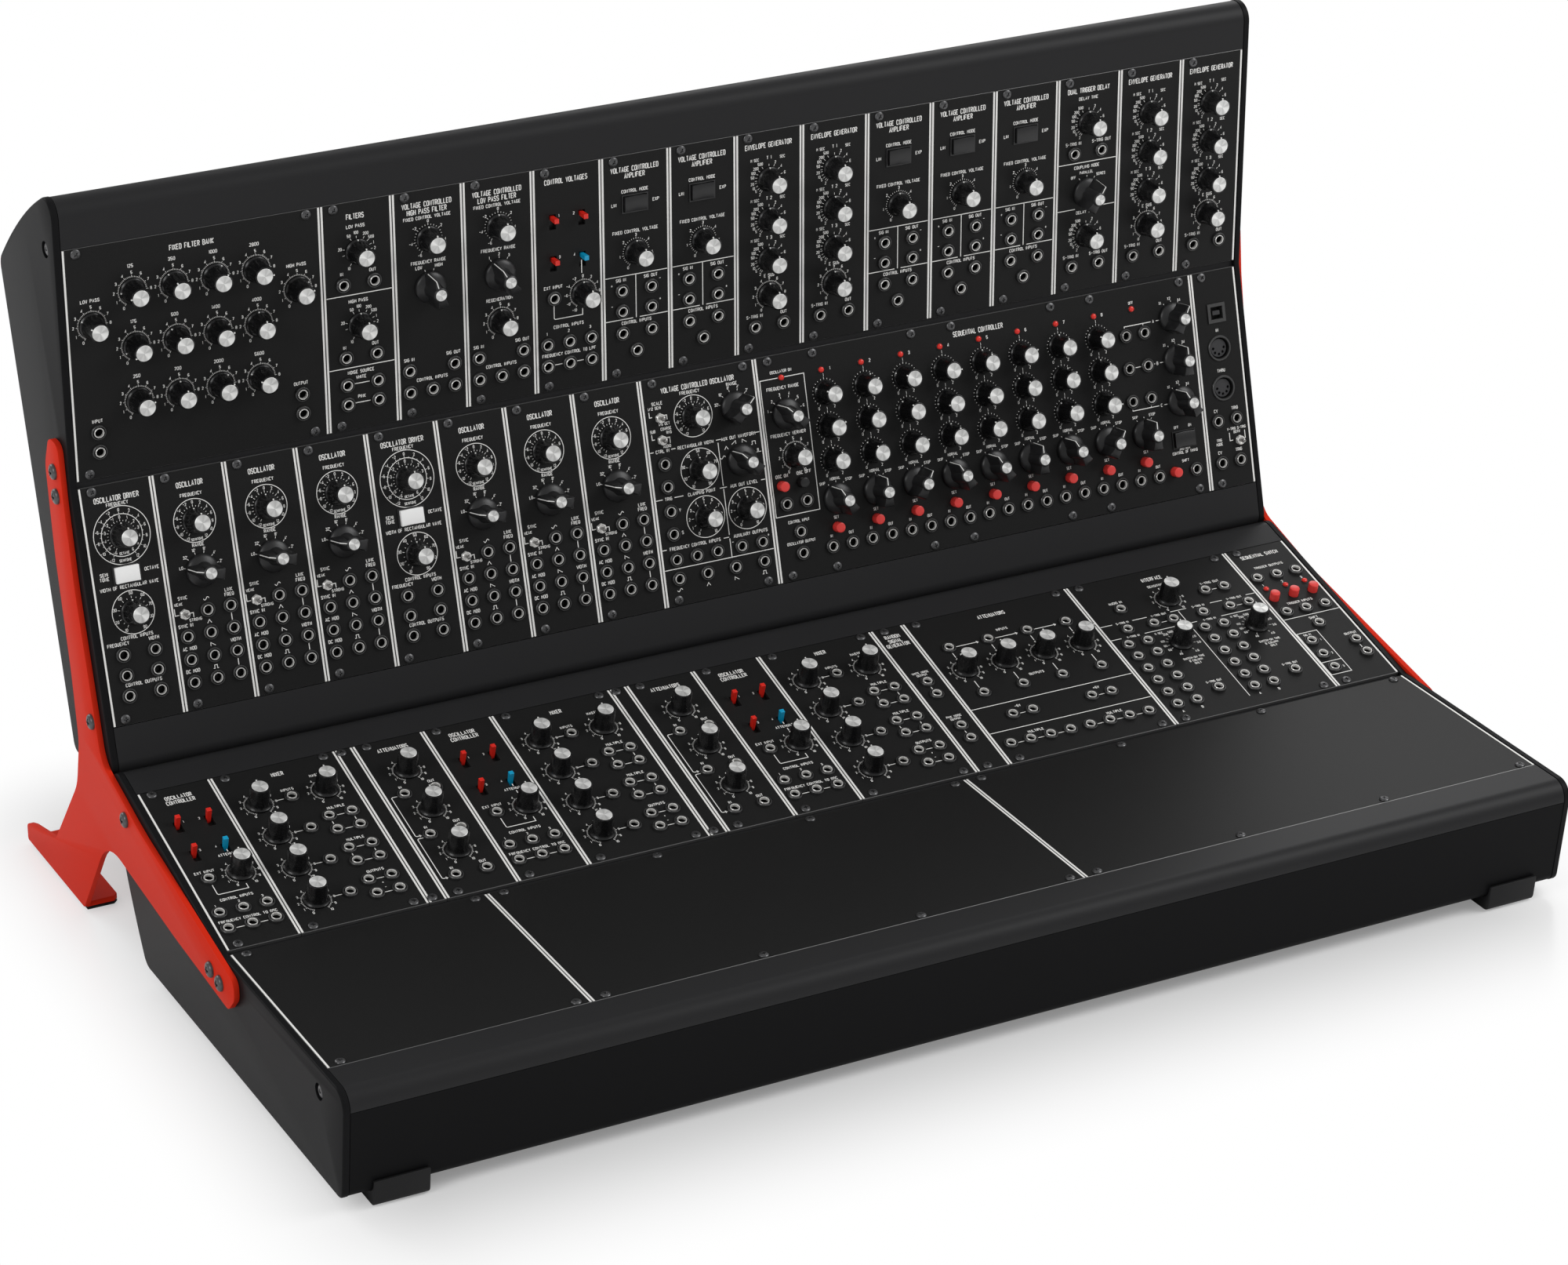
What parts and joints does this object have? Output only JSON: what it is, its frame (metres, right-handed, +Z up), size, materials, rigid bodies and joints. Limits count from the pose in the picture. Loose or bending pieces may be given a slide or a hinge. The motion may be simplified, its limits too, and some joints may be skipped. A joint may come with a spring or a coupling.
{
  "type": "modular synthesizer",
  "caption": "Table-top modular synthesizer: a lying and a standing sloped case of black control modules, held corner to corner by red side brackets.",
  "frame": {"origin": "on the table, under the middle of the bounding box", "axes": "+X to the player's right along the rows, +Y away from the player, +Z up"},
  "size_m": [0.7256, 0.4538, 0.4118],
  "materials": {
    "case_sheet": "satin black powder coat",
    "case_rail": "satin black powder coat",
    "circuit_board": "green solder mask",
    "inlet_plastic": "moulded black",
    "bracket_paint": "satin red powder coat",
    "foot_rubber": "matt black",
    "panel_black": "black, finely brushed",
    "switch_red": "moulded red",
    "switch_white": "moulded white",
    "knob_black": "gloss black with a spun metal cap",
    "lever_metal": "bright plated"
  },
  "bodies": {
    "cases": {"lower_tub": "case_sheet", "upper_tub": "case_sheet", "lower_left_cheek": "case_sheet", "lower_right_cheek": "case_sheet", "upper_left_cheek": "case_sheet", "upper_right_cheek": "case_sheet", "lower_front_rail": "case_rail", "lower_middle_rail": "case_rail", "lower_rear_rail": "case_rail", "upper_front_rail": "case_rail", "upper_middle_rail": "case_rail", "upper_rear_rail": "case_rail", "lower_bus_board": "circuit_board", "upper_bus_board": "circuit_board", "lower_power_inlet": "inlet_plastic", "upper_power_inlet": "inlet_plastic", "left_stand_bracket": "bracket_paint", "right_stand_bracket": "bracket_paint", "left_bracket_pad": "foot_rubber", "right_bracket_pad": "foot_rubber", "front_foot_left": "foot_rubber", "front_foot_right": "foot_rubber", "filter_bank_module": "panel_black", "filter_and_control_modules": "panel_black", "amplifier_and_envelope_modules": "panel_black", "oscillator_modules": "panel_black", "wide_oscillator_module": "panel_black", "sequencer_module": "panel_black", "midi_module": "panel_black", "controller_and_mixer_modules": "panel_black", "wide_attenuator_module": "panel_black", "interface_module": "panel_black", "sequential_switch_module": "panel_black", "left_blank_panel": "panel_black", "middle_blank_panel": "panel_black", "right_blank_panel": "panel_black"},
    "lower_power_switch": {"lower_power_switch": "switch_red"},
    "upper_power_switch": {"upper_power_switch": "switch_red"},
    "filter_bank_knob": {"filter_bank_knob": "knob_black"},
    "high_pass_range_switch": {"high_pass_range_switch": "knob_black"},
    "low_pass_cutoff_knob": {"low_pass_cutoff_knob": "knob_black"},
    "voltage_slide_switch": {"voltage_slide_switch": "switch_red"},
    "amplifier_mode_rocker": {"amplifier_mode_rocker": "knob_black"},
    "amplifier_gain_knob": {"amplifier_gain_knob": "knob_black"},
    "envelope_attack_knob": {"envelope_attack_knob": "knob_black"},
    "delay_coupling_switch": {"delay_coupling_switch": "knob_black"},
    "driver_frequency_knob": {"driver_frequency_knob": "knob_black"},
    "driver_range_rocker": {"driver_range_rocker": "switch_white"},
    "oscillator_frequency_knob": {"oscillator_frequency_knob": "knob_black"},
    "oscillator_range_switch": {"oscillator_range_switch": "knob_black"},
    "oscillator_sync_toggle": {"oscillator_sync_toggle": "lever_metal"},
    "wide_oscillator_knob": {"wide_oscillator_knob": "knob_black"},
    "sequencer_clock_knob": {"sequencer_clock_knob": "knob_black"},
    "sequencer_step_switch": {"sequencer_step_switch": "knob_black"},
    "sequencer_start_button": {"sequencer_start_button": "switch_red"},
    "sequencer_set_button": {"sequencer_set_button": "switch_red"},
    "sequencer_timing_rocker": {"sequencer_timing_rocker": "knob_black"},
    "mixer_master_knob": {"mixer_master_knob": "knob_black"},
    "attenuator_knob": {"attenuator_knob": "knob_black"},
    "switch_select_button": {"switch_select_button": "switch_red"}
  },
  "joints": [
    {"name": "lower_power_switch_rock", "type": "hinge", "parent": "cases", "child": "lower_power_switch", "pos_m": [0.2219, 0.0727, 0.05385], "axis": [1, 0, 0], "range_deg": [-8, 8]},
    {"name": "upper_power_switch_rock", "type": "hinge", "parent": "cases", "child": "upper_power_switch", "pos_m": [0.2219, 0.17232, 0.38801], "axis": [1, 0, 0], "range_deg": [-8, 8]},
    {"name": "filter_bank_knob_turn", "type": "hinge", "parent": "cases", "child": "filter_bank_knob", "pos_m": [-0.34166, 0.12045, 0.34275], "axis": [0, -1, -0.0035], "range_deg": [-210, 90]},
    {"name": "high_pass_range_turn", "type": "hinge", "parent": "cases", "child": "high_pass_range_switch", "pos_m": [-0.1524, 0.12049, 0.33067], "axis": [0, -1, -0.0035], "range_deg": [-30, 0]},
    {"name": "low_pass_cutoff_turn", "type": "hinge", "parent": "cases", "child": "low_pass_cutoff_knob", "pos_m": [-0.11176, 0.1204, 0.35804], "axis": [0, -1, -0.0035], "range_deg": [-150, 150]},
    {"name": "voltage_slide_move", "type": "slide", "parent": "cases", "child": "voltage_slide_switch", "axis": [0, -0.0035, 1], "range_m": [-0.0044, 0]},
    {"name": "amplifier_mode_rock", "type": "hinge", "parent": "cases", "child": "amplifier_mode_rocker", "pos_m": [-0.03089, 0.1214, 0.35779], "axis": [0, -0.0035, 1], "range_deg": [-8, 8]},
    {"name": "amplifier_gain_turn", "type": "hinge", "parent": "cases", "child": "amplifier_gain_knob", "pos_m": [-0.03048, 0.1205, 0.32952], "axis": [0, -1, -0.0035], "range_deg": [-150, 150]},
    {"name": "envelope_attack_turn", "type": "hinge", "parent": "cases", "child": "envelope_attack_knob", "pos_m": [0.0508, 0.1204, 0.35779], "axis": [0, -1, -0.0035], "range_deg": [-150, 150]},
    {"name": "delay_coupling_turn", "type": "hinge", "parent": "cases", "child": "delay_coupling_switch", "pos_m": [0.254, 0.12054, 0.31628], "axis": [0, -1, -0.0035], "range_deg": [0, 60]},
    {"name": "driver_frequency_turn", "type": "hinge", "parent": "cases", "child": "driver_frequency_knob", "pos_m": [-0.33528, 0.11324, 0.22645], "axis": [0, -0.9673, 0.2538], "range_deg": [-150, 150]},
    {"name": "driver_range_rock", "type": "hinge", "parent": "cases", "child": "driver_range_rocker", "pos_m": [-0.33577, 0.10896, 0.20618], "axis": [0, 0.2538, 0.9673], "range_deg": [-8, 8]},
    {"name": "oscillator_frequency_turn", "type": "hinge", "parent": "cases", "child": "oscillator_frequency_knob", "pos_m": [-0.29464, 0.11328, 0.22657], "axis": [0, -0.9673, 0.2538], "range_deg": [-150, 150]},
    {"name": "oscillator_range_turn", "type": "hinge", "parent": "cases", "child": "oscillator_range_switch", "pos_m": [-0.29464, 0.10646, 0.2006], "axis": [0, -0.9673, 0.2538], "range_deg": [-150, 0]},
    {"name": "oscillator_sync_flip", "type": "hinge", "parent": "cases", "child": "oscillator_sync_toggle", "pos_m": [-0.30777, 0.10101, 0.17984], "axis": [1, 0, 0], "range_deg": [-12, 12]},
    {"name": "wide_oscillator_turn", "type": "hinge", "parent": "cases", "child": "wide_oscillator_knob", "pos_m": [-0.00018, 0.11409, 0.22968], "axis": [0, -0.9673, 0.2538], "range_deg": [-150, 150]},
    {"name": "sequencer_clock_turn", "type": "hinge", "parent": "cases", "child": "sequencer_clock_knob", "pos_m": [0.05913, 0.10568, 0.19761], "axis": [0, -0.9673, 0.2538], "range_deg": [-150, 150]},
    {"name": "sequencer_step_turn", "type": "hinge", "parent": "cases", "child": "sequencer_step_switch", "pos_m": [0.05686, 0.11181, 0.22098], "axis": [0, -0.9673, 0.2538], "range_deg": [-120, 30]},
    {"name": "sequencer_start_press", "type": "slide", "parent": "cases", "child": "sequencer_start_button", "axis": [0, -0.9673, 0.2538], "range_m": [-0.0015, 0], "stiffness_N_per_m": 300},
    {"name": "sequencer_set_press", "type": "slide", "parent": "cases", "child": "sequencer_set_button", "axis": [0, -0.9673, 0.2538], "range_m": [-0.0015, 0], "stiffness_N_per_m": 300},
    {"name": "sequencer_timing_rock", "type": "hinge", "parent": "cases", "child": "sequencer_timing_rocker", "pos_m": [0.31004, 0.09745, 0.16231], "axis": [0, 0.2538, 0.9673], "range_deg": [-8, 8]},
    {"name": "mixer_master_turn", "type": "hinge", "parent": "cases", "child": "mixer_master_knob", "pos_m": [-0.2602, 0.03042, 0.09644], "axis": [0, -0.2571, 0.9664], "range_deg": [-150, 150]},
    {"name": "attenuator_turn", "type": "hinge", "parent": "cases", "child": "attenuator_knob", "pos_m": [0.11718, 0.01129, 0.09135], "axis": [0, -0.2571, 0.9664], "range_deg": [-240, 60]},
    {"name": "switch_select_press", "type": "slide", "parent": "cases", "child": "switch_select_button", "axis": [0, -0.2571, 0.9664], "range_m": [-0.0015, 0], "stiffness_N_per_m": 300}
  ]
}
